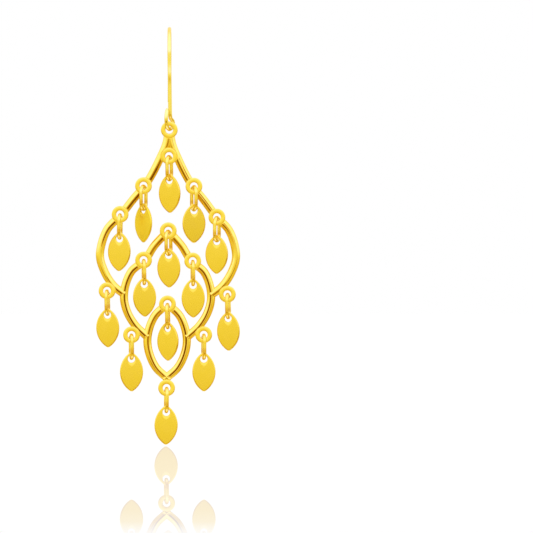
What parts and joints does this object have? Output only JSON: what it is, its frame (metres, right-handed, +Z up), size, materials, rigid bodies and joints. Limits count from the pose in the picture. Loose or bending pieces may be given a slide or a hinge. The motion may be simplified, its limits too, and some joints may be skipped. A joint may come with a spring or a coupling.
{
  "type": "chandelier earring",
  "caption": "Chandelier earring: a wire ear hook carries a three-tier pierced frame of domed limbs, hung with flat marquise drops on oval links.",
  "frame": {"origin": "underside of the hook's arch, where the wire rests in the ear", "axes": "+Z up, the earring's front faces -Y, +X to the right as seen from the front; metres"},
  "size_m": [0.0259, 0.0115, 0.0753],
  "materials": {
    "hook_gold": "polished drawn wire, pale yellow gold",
    "frame_gold": "high polish cast yellow gold",
    "link_gold": "polished wire links, yellow gold",
    "drop_gold": "polished flat sheet, deep yellow gold"
  },
  "bodies": {
    "hook": {"ear_hook": "hook_gold"},
    "chandelier": {"chandelier_frame": "frame_gold", "link_apex": "link_gold", "link_upper_left": "link_gold", "link_upper_right": "link_gold", "link_shoulder_left": "link_gold", "link_shoulder_right": "link_gold", "link_middle": "link_gold", "link_inner_left": "link_gold", "link_inner_right": "link_gold", "link_centre": "link_gold", "link_outer_left": "link_gold", "link_outer_right": "link_gold", "link_lower_left": "link_gold", "link_lower_right": "link_gold", "link_bottom": "link_gold", "drop_apex": "drop_gold", "drop_upper_left": "drop_gold", "drop_upper_right": "drop_gold", "drop_shoulder_left": "drop_gold", "drop_shoulder_right": "drop_gold", "drop_middle": "drop_gold", "drop_inner_left": "drop_gold", "drop_inner_right": "drop_gold", "drop_centre": "drop_gold", "drop_outer_left": "drop_gold", "drop_outer_right": "drop_gold", "drop_lower_left": "drop_gold", "drop_lower_right": "drop_gold", "drop_bottom": "drop_gold"}
  },
  "joints": [
    {"name": "chandelier_swing", "type": "hinge", "parent": "hook", "child": "chandelier", "pos_m": [0, -0.0045, -0.01778], "axis": [0, 1, 0], "range_deg": [-60, 60]}
  ]
}
